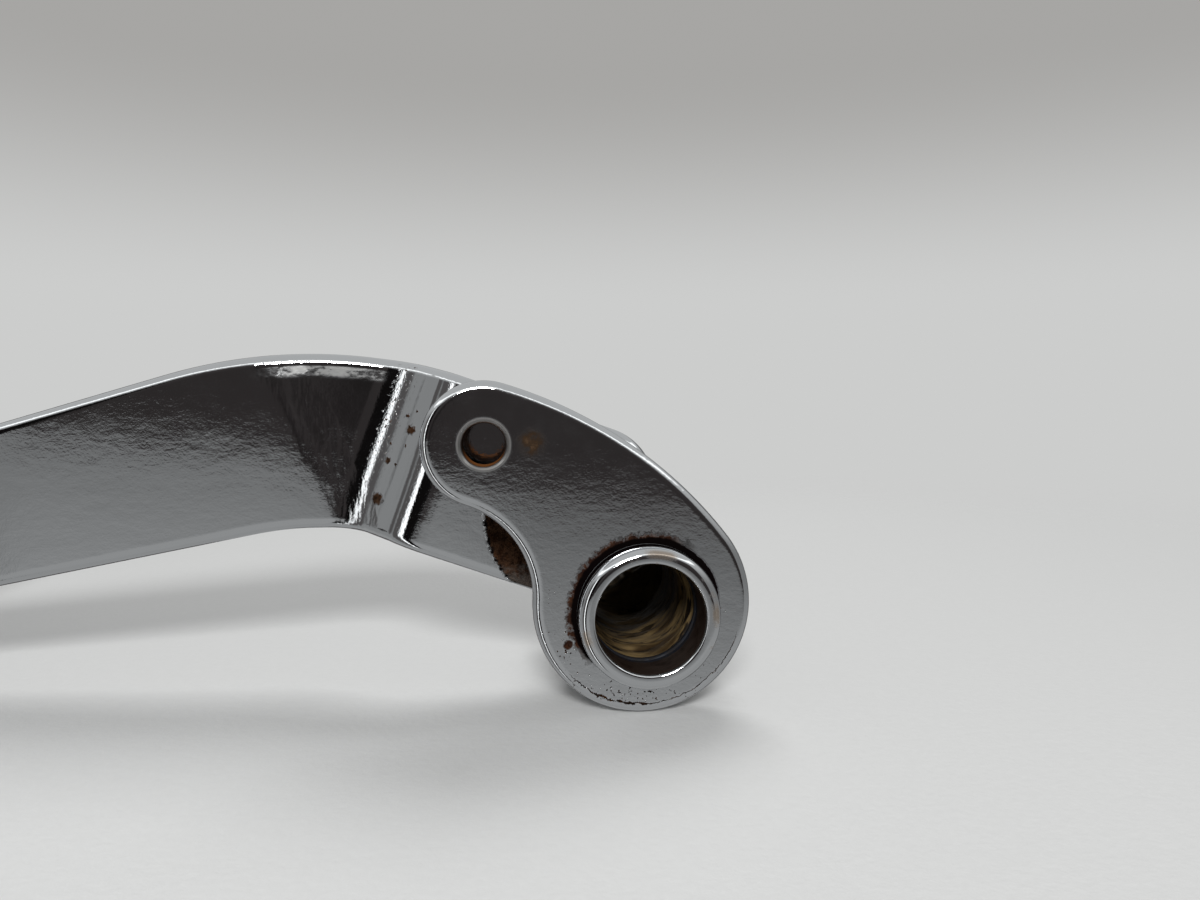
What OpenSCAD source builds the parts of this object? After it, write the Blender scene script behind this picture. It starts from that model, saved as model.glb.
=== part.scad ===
// Foot brake pedal for a motorbike: a joggled flat arm and a short actuator
// plate, both welded to a pivot tube, with a rubber-covered tread at the far end.
// The tube's axis is Y, +X points to the rear of the bike and +Z points up.
// The actuator plate is on the inner side, towards -Y.

/* [Pivot tube] */
// Bore that turns on the pivot shaft
bore_d = 17; // [15:0.5:19]
// Wall of the tube
tube_wall = 2.5; // [2.2:0.1:3.5]
// Length of the tube
tube_l = 50; // [46:1:64]
// Rounding of the outer lip at each end
lip_r = 1.6; // [0.6:0.1:1.9]
// Chamfer at each mouth of the bore
mouth_chamfer = 0.5; // [0.2:0.1:0.6]
// Machined land at each end, which bears on the shaft
land_l = 7; // [4:0.5:10]
// Width of the groove for each grease seal
seal_groove_w = 3.2; // [2.4:0.1:4]
// Depth of the groove for each grease seal
seal_groove_h = 1.2; // [0.9:0.1:1.4]
// Depth of the grease relief between the grooves
relief_h = 0.4; // [0.2:0.1:0.6]

/* [Actuator plate] */
// Thickness of the plate
plate_t = 5.5; // [4:0.5:7]
// How far the tube stands out of the plate
tube_stand = 4.5; // [3:0.5:7]
// Radius of the end round the tube
plate_big_r = 17.2; // [16.4:0.2:20]
// How far that end's middle lies forward of the tube's axis
plate_big_ahead = 0.6; // [0:0.2:1.6]
// How far that end's middle lies above the tube's axis
plate_big_up = 1.4; // [0:0.1:2.4]
// Radius of the end round the pin hole
plate_small_r = 9.8; // [8:0.2:12]
// Distance from the tube to the pin hole
lever_l = 36.5; // [33:0.5:44]
// Direction of the pin hole, from the rear, round towards the top
lever_angle = 133.5; // [125:0.5:140]
// Hollow curve under the pin hole
plate_hollow_r = 15; // [12:1:26]
// Bulging curve over the back of the plate
plate_bulge_r = 70; // [54:1:90]
// Rounding of the plate's edges
plate_edge_r = 1.5; // [0.5:0.1:2]
// Hole for the brake rod's clevis pin
pin_hole_d = 6.6; // [5:0.1:8]
// Countersink round each mouth of the pin hole
pin_chamfer = 0.8; // [0.3:0.1:1]

/* [Pedal arm] */
// Thickness of the arm's bar
arm_t = 7; // [5:0.5:8]
// Width of the bar at the pivot
arm_w = 30.6; // [29:0.2:32]
// Slope at which each edge of the long run draws in towards the tip
edge_taper = 3; // [1:0.1:3.4]
// Gap between the actuator plate and the arm
plate_gap = 9; // [7:0.5:11]
// Height of the bar's middle over the tube's axis, square to the bar
arm_raise = 10.2; // [9:0.1:11.5]
// Fall of the bar towards the rear, beside the pivot
fall_angle = 19.5; // [15:0.5:24]
// Rise of the bar towards the rear, on the long run to the tread
rise_angle = 14; // [9:0.5:18]
// Middle radius of the bend from rise to fall
bend_r = 70; // [62:1:90]
// Distance from the tube to the start of that bend, along the bar
bend_start = 37.2; // [32:0.2:44]
// Length of the straight run from the bend to the tip
run_l = 120; // [100:1:150]
// Radius of the boss that the arm forms round the tube
boss_r = 14.5; // [13.8:0.1:15.5]
// Hollow corner between the boss and the bar's lower edge
boss_hollow_r = 3; // [2:0.5:4]
// Rounding of the bar's upper corner over the tube
corner_r = 10.5; // [8:0.5:11.5]
// Distance from the tube back to that corner's centre, along the bar
corner_back = 12.4; // [10:0.2:14]
// Rounding of the arm's edges
arm_edge_r = 1.8; // [0.6:0.1:2.2]
// Rounding of the tip's lower corner
tip_low_r = 13; // [9:0.5:14]
// Rounding of the tip's upper corner
tip_high_r = 3.5; // [2.4:0.1:4]

/* [Joggle in the arm] */
// Sideways step of the long run, away from the actuator plate
joggle_step = 9; // [7:0.5:12]
// Slope of the step
joggle_angle = 41; // [30:1:50]
// Middle radius of the bend beside the actuator plate
joggle_near_r = 7; // [5.5:0.5:7.5]
// Middle radius of the bend at the long run
joggle_far_r = 14; // [9:0.5:15]
// Distance from the tube to the middle of the step, along the bar
joggle_back = 44.1; // [42:0.1:50]

/* [Tread] */
// Length of the tread plate, across the bike
tread_l = 58; // [48:1:70]
// Width of the tread plate, along the arm
tread_w = 33; // [28:1:40]
// Thickness of the tread plate
tread_t = 3; // [2.5:0.5:4]
// Rounding of the tread plate's corners
tread_corner_r = 7; // [4:0.5:9]
// Distance from the arm's tip to the middle of the tread
tread_in = 19; // [16:0.5:26]
// How far the tread plate's middle is set outwards from the arm's middle
tread_out = 11; // [0:0.5:16]

/* [Tread rubber] */
// Rubber over the tread plate, without its ribs
rubber_top = 4; // [3:0.5:6]
// Rubber round the tread plate's edge
rubber_side = 3; // [2:0.5:4]
// Rubber lip under the tread plate
rubber_lip_t = 2; // [1.5:0.5:3]
// How far the lip reaches in under the tread plate
rubber_lip_in = 5; // [3:0.5:6]
// Number of ribs across the tread
rib_count = 6; // [4:1:8]
// Height of a rib
rib_h = 2; // [1:0.5:3]
// Share of the spacing that a rib fills
rib_share = 0.55; // [0.4:0.05:0.7]

/* [Welds] */
// Leg of the weld beads round the tube
tube_weld = 3; // [2:0.1:3]
// Leg of the weld beads under the tread plate
tread_weld = 3.2; // [2.6:0.1:4]

/* [Hidden] */
// Gap that keeps rubber clear of the metal it sits on
rubber_gap = 0.05;
// Gap round the arm where it passes under the rubber
arm_slot_gap = 0.4;
// Straight bits of each quarter of edge rounding
edge_steps = 5;
// Overshoot of cutting tools
cut = 1;
round_fn = 72;
chrome = [0.78, 0.79, 0.8];
bead = [0.7, 0.7, 0.71];
rubber = [0.08, 0.08, 0.085];

bore_r = bore_d / 2;
tube_r = bore_r + tube_wall;
// Places along the tube's axis
inner_end_y = -tube_l / 2;
plate_y = inner_end_y + tube_stand + plate_t / 2;
arm_front_y = plate_y + plate_t / 2 + plate_gap;
arm_y = arm_front_y + arm_t / 2;
run_y = arm_y + joggle_step;
seal_y = tube_l / 2 - land_l - seal_groove_w / 2;

// Flat curves, as points [position, direction into the metal]

function polar(r, a) = [r * cos(a), r * sin(a)];

// Points of an arc whose metal is inside it, or outside it where out is -1
function arc(centre, r, from, to, steps, out = 1) =
  [for (i = [0:steps])
    let (a = from + (to - from) * i / steps)
      [centre + polar(r, a), -out * polar(1, a)]];

// The point at distance da from a and db from b, on the left of the way from a to b
function meet(a, da, b, db) =
  let (
    v = b - a,
    d = norm(v),
    along = (d * d + da * da - db * db) / (2 * d),
    aside = sqrt(da * da - along * along)
  )
    a + v * along / d + [-v[1], v[0]] * aside / d;

function bearing(v) = atan2(v[1], v[0]);

// An angle of more than low, by whole turns
function above(a, low) = a < low ? above(a + 360, low) : a;

// A bar that follows an outline, with its long edges rounded. place() puts a
// point of the outline's plane, at a height through the bar, into space.
module edge_rounded(outline, thick, edge, place, caps) {
  n = len(outline);
  steps = [for (k = [0:edge_steps]) 90 * k / edge_steps];
  rings = concat(
    [for (a = steps) [edge * (1 - sin(a)), edge * (1 - cos(a)) - thick / 2]],
    [for (a = steps) [edge * (1 - cos(a)), thick / 2 - edge * (1 - sin(a))]]);
  last = (len(rings) - 1) * n;
  points = [for (ring = rings) for (o = outline) place(o[0] + o[1] * ring[0], ring[1])];
  sides = [for (k = [0:n:last - n]) for (i = [0:n - 1])
    let (j = (i + 1) % n)
      each [[k + i, k + j, k + n + j], [k + i, k + n + j, k + n + i]]];
  back = [for (c = caps) [for (i = [len(c) - 1:-1:0]) last + c[i]]];
  polyhedron(points, concat(caps, sides, back), convexity = 6);
}

// The tube and its grease seals

module about_pivot() {
  rotate([-90, 0, 0])
    rotate_extrude($fn = round_fn)
      children();
}

module mouth_cut() {
  translate([0, tube_l / 2])
    polygon([
      [0, cut], [bore_r + mouth_chamfer + cut, cut], [bore_r, -mouth_chamfer], [0, -mouth_chamfer]]);
}

module tube_half_section() {
  difference() {
    union() {
      square([tube_r, tube_l / 2 - lip_r]);
      square([tube_r - lip_r, tube_l / 2]);
      translate([tube_r - lip_r, tube_l / 2 - lip_r])
        circle(r = lip_r, $fn = 48);
    }
    translate([0, -cut])
      square([bore_r, tube_l + 2 * cut]);
    translate([0, -cut])
      square([bore_r + relief_h, seal_y - seal_groove_w / 2 + cut]);
    translate([0, seal_y - seal_groove_w / 2])
      square([bore_r + seal_groove_h, seal_groove_w]);
    mouth_cut();
  }
}

module pivot_tube() {
  color(chrome)
    about_pivot() {
      tube_half_section();
      mirror([0, 1])
        tube_half_section();
    }
}

// A ring of rubber with two lips flush with the bore, which keeps the grease in
module grease_seal(y) {
  seal_h = seal_groove_h - rubber_gap;
  seal_w = seal_groove_w - 2 * rubber_gap;
  color(rubber)
    translate([0, y, 0])
      about_pivot()
        translate([bore_r, 0])
          difference() {
            translate([0, -seal_w / 2])
              square([seal_h, seal_w]);
            circle(d = seal_w / 2.5, $fn = 24);
          }
}

// The actuator plate: two round ends, joined by a bulging and a hollow curve

pin_at = polar(lever_l, lever_angle);
big_at = [-plate_big_ahead, plate_big_up];

// Both curves have their centre on the side of the plate that faces the tip
hollow_at = meet(big_at, plate_big_r + plate_hollow_r, pin_at, plate_small_r + plate_hollow_r);
bulge_at = meet(big_at, plate_bulge_r - plate_big_r, pin_at, plate_bulge_r - plate_small_r);

function plate_outline() =
  let (
    big_from = bearing(hollow_at - big_at),
    big_to = above(bearing(big_at - bulge_at), big_from),
    small_from = above(bearing(pin_at - bulge_at), big_to),
    small_to = above(bearing(hollow_at - pin_at), small_from),
    hollow_from = above(bearing(pin_at - hollow_at), 0),
    hollow_to = bearing(big_at - hollow_at)
  )
    concat(
      arc(big_at, plate_big_r, big_from, big_to, 40),
      arc(bulge_at, plate_bulge_r, big_to, small_from, 14),
      arc(pin_at, plate_small_r, small_from, small_to, 24),
      arc(hollow_at, plate_hollow_r, hollow_from, hollow_to, 14, -1));

// The outline with each point that repeats the one before left out
function tidy(list) =
  [for (i = [0:len(list) - 1])
    if (norm(list[i][0] - list[(i + len(list) - 1) % len(list)][0]) > 0.01) list[i]];

module actuator_plate() {
  outline = tidy(plate_outline());
  n = len(outline);
  place = function (p, h) [p[0], plate_y + h, p[1]];
  color(chrome)
    difference() {
      edge_rounded(outline, plate_t, plate_edge_r, place, [[for (i = [n:-1:1]) i % n]]);
      translate([0, plate_y, 0])
        rotate([90, 0, 0])
          cylinder(r = tube_r, h = plate_t + 2 * cut, center = true, $fn = round_fn);
      translate([pin_at[0], plate_y, pin_at[1]])
        rotate([90, 0, 0])
          pin_hole();
    }
}

module pin_hole() {
  cylinder(d = pin_hole_d, h = plate_t + 2 * cut, center = true, $fn = round_fn);
  for (side = [0, 1])
    mirror([0, 0, side])
      translate([0, 0, plate_t / 2 - pin_chamfer])
        cylinder(r1 = pin_hole_d / 2, r2 = pin_hole_d / 2 + pin_chamfer + cut,
          h = pin_chamfer + cut, $fn = round_fn);
}

// The weld beads round the tube have a flat leg on each piece and a hollow face

module tube_bead(y, way) {
  color(bead)
    translate([0, y, 0])
      about_pivot()
        mirror([0, way < 0 ? 1 : 0])
          translate([tube_r, 0])
            difference() {
              polygon([[0, 0], [tube_weld, 0], [tube_weld * 0.62, tube_weld * 0.62], [0, tube_weld]]);
              translate([tube_weld * 1.7, tube_weld * 1.7])
                circle(r = tube_weld * 1.4, $fn = 48);
            }
}

// The arm. Its outline is laid out in [s, t]: s runs along the bar beside the
// pivot and t runs square to it, both from the tube's axis. The joggle's bends
// lie square to s, so the bar's upper and lower edge are paired there.

arm_bend_at = [-bend_start, arm_raise - bend_r];
turn = fall_angle + rise_angle;
high_r = bend_r + arm_w / 2;
low_r = bend_r - arm_w / 2;

near_tangent = joggle_near_r * tan(joggle_angle / 2);
far_tangent = joggle_far_r * tan(joggle_angle / 2);
joggle_half = joggle_step / (2 * tan(joggle_angle));
near_bend_s = joggle_half - joggle_back;
far_bend_s = -joggle_half - joggle_back;
near_end_s = near_bend_s + near_tangent;
far_end_s = far_bend_s - far_tangent;

// Slope of the bar's middle surface at s, from 0 to the joggle's angle
function joggle_slope(s) =
  s >= near_end_s || s <= far_end_s ? 0
  : s > near_bend_s - near_tangent * cos(joggle_angle) ? asin((near_end_s - s) / joggle_near_r)
  : s < far_bend_s + far_tangent * cos(joggle_angle) ? asin((s - far_end_s) / joggle_far_r)
  : joggle_angle;

// Place of the bar's middle surface at s, along the tube's axis
function joggle_y(s) =
  s >= near_end_s ? arm_y
  : s <= far_end_s ? run_y
  : s > near_bend_s - near_tangent * cos(joggle_angle)
    ? arm_y + joggle_near_r * (1 - cos(joggle_slope(s)))
  : s < far_bend_s + far_tangent * cos(joggle_angle)
    ? run_y - joggle_far_r * (1 - cos(joggle_slope(s)))
  : arm_y + (near_bend_s - s) * tan(joggle_angle);

function to_space(s, t) =
  [s * cos(fall_angle) + t * sin(fall_angle), t * cos(fall_angle) - s * sin(fall_angle)];

function arm_place(p, h) =
  let (
    slope = joggle_slope(p[0]),
    flat = to_space(p[0] + h * sin(slope), p[1])
  )
    [flat[0], joggle_y(p[0]) + h * cos(slope), flat[1]];

// Upper and lower edge of the bar at s
function edge_lean(s, r) = s < -bend_start ? asin((-bend_start - s) / r) : 0;
function edge_t(s, r) = arm_bend_at[1] + r * cos(edge_lean(s, r));
function edge_point(s, r, side) =
  [[s, edge_t(s, r)], [0, -side / cos(edge_lean(s, r))]];

bend_steps = 8;
joggle_s = concat(
  [for (i = [0:bend_steps]) far_end_s + joggle_far_r * sin(joggle_angle * i / bend_steps)],
  [for (i = [bend_steps:-1:0]) near_end_s - joggle_near_r * sin(joggle_angle * i / bend_steps)]);

// The long run, whose edges leave the bend on a tangent and draw in to the tip
run_way = polar(1, 180 + turn);
run_up = polar(1, 90 + turn);

// A place that is along the run from the bend's centre, and in from an edge by inset
function by_high_edge(along, inset) =
  arm_bend_at + run_way * along
    + run_up * (high_r - inset - along * sin(edge_taper)) / cos(edge_taper);
function by_low_edge(along, inset) =
  arm_bend_at + run_way * along
    + run_up * (low_r + inset + along * sin(edge_taper)) / cos(edge_taper);

function tip_outline() =
  concat(
    arc(by_high_edge(run_l - tip_high_r, tip_high_r), tip_high_r,
      90 + turn + edge_taper, 180 + turn, 6),
    arc(by_low_edge(run_l - tip_low_r, tip_low_r), tip_low_r,
      180 + turn, 270 + turn - edge_taper, 10));

function far_outline() =
  concat(
    arc(arm_bend_at, high_r, 90 + edge_lean(far_end_s, high_r) + 2, 90 + turn + edge_taper, 6),
    tip_outline(),
    arc(arm_bend_at, low_r, 90 + turn - edge_taper, 90 + edge_lean(far_end_s, low_r) + 2, 5, -1));

// The end round the tube: lower edge, hollow corner, boss, upper corner
low_edge = arm_raise - arm_w / 2;
hollow_st = [-sqrt(pow(boss_r + boss_hollow_r, 2) - pow(low_edge - boss_hollow_r, 2)),
  low_edge - boss_hollow_r];
corner_st = [-corner_back, arm_raise + arm_w / 2 - corner_r];
corner_end = bearing(-corner_st) + acos((corner_r - boss_r) / norm(corner_st));

function near_outline() =
  concat(
    arc(hollow_st, boss_hollow_r, 90, bearing(-hollow_st), 5, -1),
    arc([0, 0], boss_r, above(bearing(hollow_st), 0) - 360, corner_end, 30),
    arc(corner_st, corner_r, corner_end, 90, 6));

module pedal_arm() {
  m = len(joggle_s);
  // Lower edge, end round the tube, upper edge, tip
  near = tidy(near_outline());
  far = far_outline();
  outline = concat(
    [for (s = joggle_s) edge_point(s, low_r, -1)],
    near,
    [for (i = [m - 1:-1:0]) edge_point(joggle_s[i], high_r, 1)],
    far);
  n = len(outline);
  top = m + len(near);
  step_caps = [for (i = [0:m - 2]) [i, top + m - 1 - i, top + m - 2 - i, i + 1]];
  near_cap = [for (i = [top:-1:m - 1]) i];
  far_cap = [for (i = [n:-1:top + m - 1]) i % n];
  color(chrome)
    difference() {
      edge_rounded(outline, arm_t, arm_edge_r, function (p, h) arm_place(p, h),
        concat(step_caps, [near_cap, far_cap]));
      translate([0, arm_y, 0])
        rotate([90, 0, 0])
          cylinder(r = tube_r, h = arm_t + 2 * cut, center = true, $fn = round_fn);
    }
}

// The tread lies on the arm's upper edge, which falls towards the tip

tread_slope = rise_angle + edge_taper;
tread_st = by_high_edge(run_l - tread_in, 0);
tread_at = to_space(tread_st[0], tread_st[1]);

// X runs up the arm, Y across the bike and Z out of the arm's upper edge
module on_tread() {
  translate([tread_at[0], run_y, tread_at[1]])
    rotate([0, -tread_slope, 0])
      children();
}

module rounded_rectangle(w, l, r) {
  square([w - 2 * r, l], center = true);
  square([w, l - 2 * r], center = true);
  for (x = [-1, 1], y = [-1, 1])
    translate([x * (w / 2 - r), y * (l / 2 - r)])
      circle(r = r, $fn = 48);
}

module tread_plate() {
  color(chrome)
    on_tread()
      translate([0, tread_out, 0])
        linear_extrude(tread_t)
          rounded_rectangle(tread_w, tread_l, tread_corner_r);
}

bead_l = tread_w - 2 * rubber_lip_in - 2 * rubber_gap - 1;

// A bead fills the corner beside the arm's rounded edge
module tread_bead(side) {
  root = [for (i = [0:edge_steps])
    let (a = 90 * i / edge_steps)
      [arm_t / 2 - arm_edge_r * (1 - sin(a)), -arm_edge_r * (1 - cos(a))]];
  outer = [[arm_t / 2, -tread_weld], [arm_t / 2 + tread_weld * 0.55, -tread_weld * 0.62],
    [arm_t / 2 + tread_weld, 0]];
  color(bead)
    on_tread()
      mirror([0, side < 0 ? 1 : 0, 0])
        rotate([90, 0, 90])
          translate([0, 0, -bead_l / 2])
            linear_extrude(bead_l)
              polygon(concat(root, outer));
}

module tread_rubber() {
  w = tread_w + 2 * rubber_side;
  l = tread_l + 2 * rubber_side;
  r = tread_corner_r + rubber_side;
  pitch = l / rib_count;
  color(rubber)
    on_tread()
      translate([0, tread_out, 0])
        difference() {
          translate([0, 0, -rubber_lip_t - rubber_gap])
            linear_extrude(rubber_lip_t + rubber_gap + tread_t + rubber_top + rib_h)
              rounded_rectangle(w, l, r);
          translate([0, 0, -rubber_gap])
            linear_extrude(tread_t + 2 * rubber_gap)
              rounded_rectangle(tread_w + 2 * rubber_gap, tread_l + 2 * rubber_gap,
                tread_corner_r + rubber_gap);
          translate([0, 0, -rubber_lip_t - cut])
            linear_extrude(rubber_lip_t + cut)
              rounded_rectangle(tread_w - 2 * rubber_lip_in, tread_l - 2 * rubber_lip_in,
                tread_corner_r - rubber_lip_in / 2);
          translate([-w / 2 - cut, -tread_out - arm_t / 2 - arm_slot_gap, -rubber_lip_t - cut])
            cube([w + 2 * cut, arm_t + 2 * arm_slot_gap, rubber_lip_t + cut + arm_slot_gap]);
          for (i = [1:rib_count - 1])
            translate([0, (i - rib_count / 2) * pitch, tread_t + rubber_top + rib_h])
              groove(w, pitch * (1 - rib_share));
        }
}

// A groove between two ribs, with sloping sides
module groove(w, gap) {
  rotate([90, 0, 90])
    translate([0, 0, -w / 2 - cut])
      linear_extrude(w + 2 * cut)
        polygon([[-gap * 0.35, -rib_h], [gap * 0.35, -rib_h], [gap / 2, 0], [gap / 2, cut],
          [-gap / 2, cut], [-gap / 2, 0]]);
}

pivot_tube();
grease_seal(-seal_y);  // inner_grease_seal
grease_seal(seal_y);  // outer_grease_seal
actuator_plate();
tube_bead(plate_y + plate_t / 2, 1);  // plate_weld
pedal_arm();
tube_bead(arm_y - arm_t / 2, -1);  // arm_weld_inner
tube_bead(arm_y + arm_t / 2, 1);  // arm_weld_outer
tread_plate();
tread_bead(-1);  // tread_weld_inner
tread_bead(1);  // tread_weld_outer
tread_rubber();
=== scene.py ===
"""A chromed motorbike brake pedal, dressed for a studio view from its inner side."""
import math

import bmesh
import bpy
from mathutils import Matrix, Vector, noise


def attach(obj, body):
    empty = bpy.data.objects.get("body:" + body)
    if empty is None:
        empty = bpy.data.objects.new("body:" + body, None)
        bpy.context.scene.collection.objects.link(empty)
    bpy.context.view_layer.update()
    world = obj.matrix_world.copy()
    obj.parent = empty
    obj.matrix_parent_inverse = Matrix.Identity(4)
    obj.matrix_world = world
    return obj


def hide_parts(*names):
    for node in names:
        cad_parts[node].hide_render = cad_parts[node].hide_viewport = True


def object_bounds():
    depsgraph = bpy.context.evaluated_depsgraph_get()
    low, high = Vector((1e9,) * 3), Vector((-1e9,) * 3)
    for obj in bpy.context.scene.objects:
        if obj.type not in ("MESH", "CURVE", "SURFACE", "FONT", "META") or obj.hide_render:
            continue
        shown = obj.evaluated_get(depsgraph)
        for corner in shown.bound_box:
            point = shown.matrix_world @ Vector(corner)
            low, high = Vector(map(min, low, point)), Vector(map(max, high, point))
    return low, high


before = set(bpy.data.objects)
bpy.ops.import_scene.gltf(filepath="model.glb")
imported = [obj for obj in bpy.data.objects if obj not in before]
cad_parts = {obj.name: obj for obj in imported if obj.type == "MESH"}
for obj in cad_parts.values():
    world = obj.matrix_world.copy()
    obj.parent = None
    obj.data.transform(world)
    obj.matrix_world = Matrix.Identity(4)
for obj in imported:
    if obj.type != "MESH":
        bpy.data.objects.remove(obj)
cad_box = [list(corner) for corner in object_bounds()]

MM = 0.001
scene = bpy.context.scene
scene.view_settings.view_transform = "Standard"


# ---------------------------------------------------------------- Pivot tube
# A turned steel tube, bright chrome outside. The bore is plain machined steel,
# stained brown at its lands, with a relief for grease between the two seal
# grooves. On its inner end, tan stains and painted tan reflections lie on the
# lip, and painted black shade lies on its side beside the plate.

BORE_R = 8.5
TUBE_R = 11.0
TUBE_HALF = 25.0
LIP_R = 1.6
MOUTH_R = 0.45
LAND = 7.0
GROOVE_W = 3.2
GROOVE_R = 9.7
RELIEF_R = 8.9


def arc(centre, radius, start, end, steps, metal_inside=True):
    """Points of an arc in a plane, each with the direction into the metal."""
    points = []
    for i in range(steps + 1):
        angle = math.radians(start + (end - start) * i / steps)
        out = Vector((math.cos(angle), math.sin(angle)))
        points.append((Vector(centre) + out * radius, -out if metal_inside else out))
    return points


def curve(centre, radius, start, end, steps):
    """The points of an arc alone."""
    return [point for point, _ in arc(centre, radius, start, end, steps)]


def with_holding_points(loop, near=0.06):
    """Adds a point close to both ends of each long line, so that smooth shading stays flat there."""
    held = []
    for (a, inward_a), (b, inward_b) in zip(loop, loop[1:] + loop[:1]):
        held.append((a, inward_a))
        length = (b - a).length
        if length > 8 * near:
            step = (b - a) * (near / length)
            held.append((a + step, inward_a.lerp(inward_b, near / length)))
            held.append((b - step, inward_b.lerp(inward_a, near / length)))
    return held


def quads(a, b, count, closed=True):
    """Faces between two rings of points, which start at a and at b."""
    last = count if closed else count - 1
    return [(a + j, a + (j + 1) % count, b + (j + 1) % count, b + j) for j in range(last)]


def added(name, data):
    """A new object in the scene."""
    made = bpy.data.objects.new(name, data)
    scene.collection.objects.link(made)
    return made


def smooth(piece, sharp=35):
    piece.data.shade_smooth()
    piece.data.set_sharp_from_angle(angle=math.radians(sharp))


def mesh_piece(name, points, faces, sharp=35):
    """Makes a smooth-shaded mesh object from points in millimetres."""
    mesh = bpy.data.meshes.new(name)
    mesh.from_pydata([Vector(p) * MM for p in points], [], faces)
    mesh.validate()
    work = bmesh.new()
    work.from_mesh(mesh)
    bmesh.ops.recalc_face_normals(work, faces=work.faces)
    work.to_mesh(mesh)
    work.free()
    piece = added(name, mesh)
    smooth(piece, sharp)
    return piece


def lathe(name, profile, steps=180):
    """Turns a closed profile of (radius, y) points round the pivot axis."""
    loop = [point for point, _ in with_holding_points([(Vector(p), Vector((0, 0))) for p in profile])]
    count = len(loop)
    points = []
    faces = []
    for i in range(steps):
        angle = 2 * math.pi * i / steps
        points += [(p.x * math.cos(angle), p.y, p.x * math.sin(angle)) for p in loop]
        faces += quads(i * count, (i + 1) % steps * count, count)
    return mesh_piece(name, points, faces)


def dress(piece, node, material):
    """Lets a piece stand for its CAD node and gives it its finish."""
    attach(piece, "root")
    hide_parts(node)
    piece.data.materials.clear()
    piece.data.materials.append(material)


def tube_profile():
    end = TUBE_HALF
    groove_far = end - LAND
    groove_near = groove_far - GROOVE_W
    half = curve((TUBE_R - LIP_R, end - LIP_R), LIP_R, 0, 90, 16)
    half += curve((BORE_R + MOUTH_R, end - MOUTH_R), MOUTH_R, 90, 180, 6)
    half += [Vector(p) for p in (
        (BORE_R, groove_far), (GROOVE_R, groove_far), (GROOVE_R, groove_near),
        (RELIEF_R, groove_near))]
    return half + [Vector((p.x, -p.y)) for p in reversed(half)]


class Field:
    """A value that varies over a surface: the output of a shader node, with the usual arithmetic."""

    def __init__(self, socket):
        self.socket = socket
        self.tree = socket.id_data

    def __add__(self, other):
        return maths("ADD", self, other)

    def __sub__(self, other):
        return maths("SUBTRACT", self, other)

    def __rsub__(self, other):
        return maths("SUBTRACT", other, self)

    def __mul__(self, other):
        return maths("MULTIPLY", self, other)

    def __truediv__(self, other):
        return maths("DIVIDE", self, other)

    def __abs__(self):
        return maths("ABSOLUTE", self)


def feed(socket, value):
    """Links a field to an input, or sets a plain value there."""
    if isinstance(value, Field):
        value.tree.links.new(value.socket, socket)
    elif socket.type == "RGBA":
        socket.default_value = (*value, 1)
    else:
        socket.default_value = value


def put(tree, kind, inputs=None, **settings):
    """Adds a shader node. An input is a field or a plain value."""
    made = tree.nodes.new("ShaderNode" + kind)
    for name, value in settings.items():
        setattr(made, name, value)
    for name, value in (inputs or {}).items():
        feed(made.inputs[name], value)
    return made


def maths(operation, *values, clamp=False):
    tree = next(value.tree for value in values if isinstance(value, Field))
    node = put(tree, "Math", dict(enumerate(values)), operation=operation, use_clamp=clamp)
    return Field(node.outputs[0])


def vector(operation, a, b):
    """Works on vectors. A distance comes out as a number."""
    inputs = {0: a, "Scale" if operation == "SCALE" else 1: b}
    node = put(a.tree, "VectorMath", inputs, operation=operation)
    return Field(node.outputs["Value" if operation == "DISTANCE" else "Vector"])


def split(at):
    return [Field(part) for part in put(at.tree, "SeparateXYZ", {0: at}).outputs]


def length(x, z):
    return maths("SQRT", x * x + z * z)


def off_from(x, z, centre):
    """How far a place is to the right of a point, above it, and from it."""
    dx, dz = x - centre[0], z - centre[1]
    return dx, dz, length(dx, dz)


def fade(value, start, end, low=0.0, high=1.0):
    """Goes smoothly from low to high as the value goes from start to end."""
    inputs = {"Value": value, "From Min": start, "From Max": end, "To Min": low, "To Max": high}
    return Field(put(value.tree, "MapRange", inputs, interpolation_type="SMOOTHSTEP").outputs["Result"])


def window(value, start, full, last, end):
    """A mask that is 1 from full to last and 0 before start and after end."""
    return fade(value, start, full) * fade(value, end, last)


def blend(amount, a, b):
    """Mixes two colours."""
    return Field(put(amount.tree, "Mix", {0: amount, 6: a, 7: b}, data_type="RGBA").outputs[2])


def vary(amount, a, b):
    """Mixes two numbers."""
    return Field(put(amount.tree, "Mix", {0: amount, 2: a, 3: b}, data_type="FLOAT").outputs[0])


def most(first, *others):
    """The largest of several values."""
    for other in others:
        first = maths("MAXIMUM", first, other)
    return first


def least(a, b):
    return maths("MINIMUM", a, b)


def bare(mask):
    """How much of the metal shows where a mask covers it."""
    return maths("SUBTRACT", 1.0, mask, clamp=True)


def texture(at, scale, detail, rough=0.5, output="Fac"):
    inputs = {"Vector": at, "Scale": scale, "Detail": detail, "Roughness": rough}
    return Field(put(at.tree, "TexNoise", inputs).outputs[output])


def cloud(at, size, detail=2.0, rough=0.55, stretch=(1, 1, 1)):
    """Noise from 0 to 1 whose lumps are about size millimetres across."""
    return texture(vector("MULTIPLY", at, stretch), 1.0 / size, detail, rough)


def place_of(tree):
    """The place on the pedal in millimetres, as a vector and as x, y and z."""
    at = vector("SCALE", Field(put(tree, "TexCoord").outputs["Object"]), 1 / MM)
    return at, *split(at)


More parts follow.
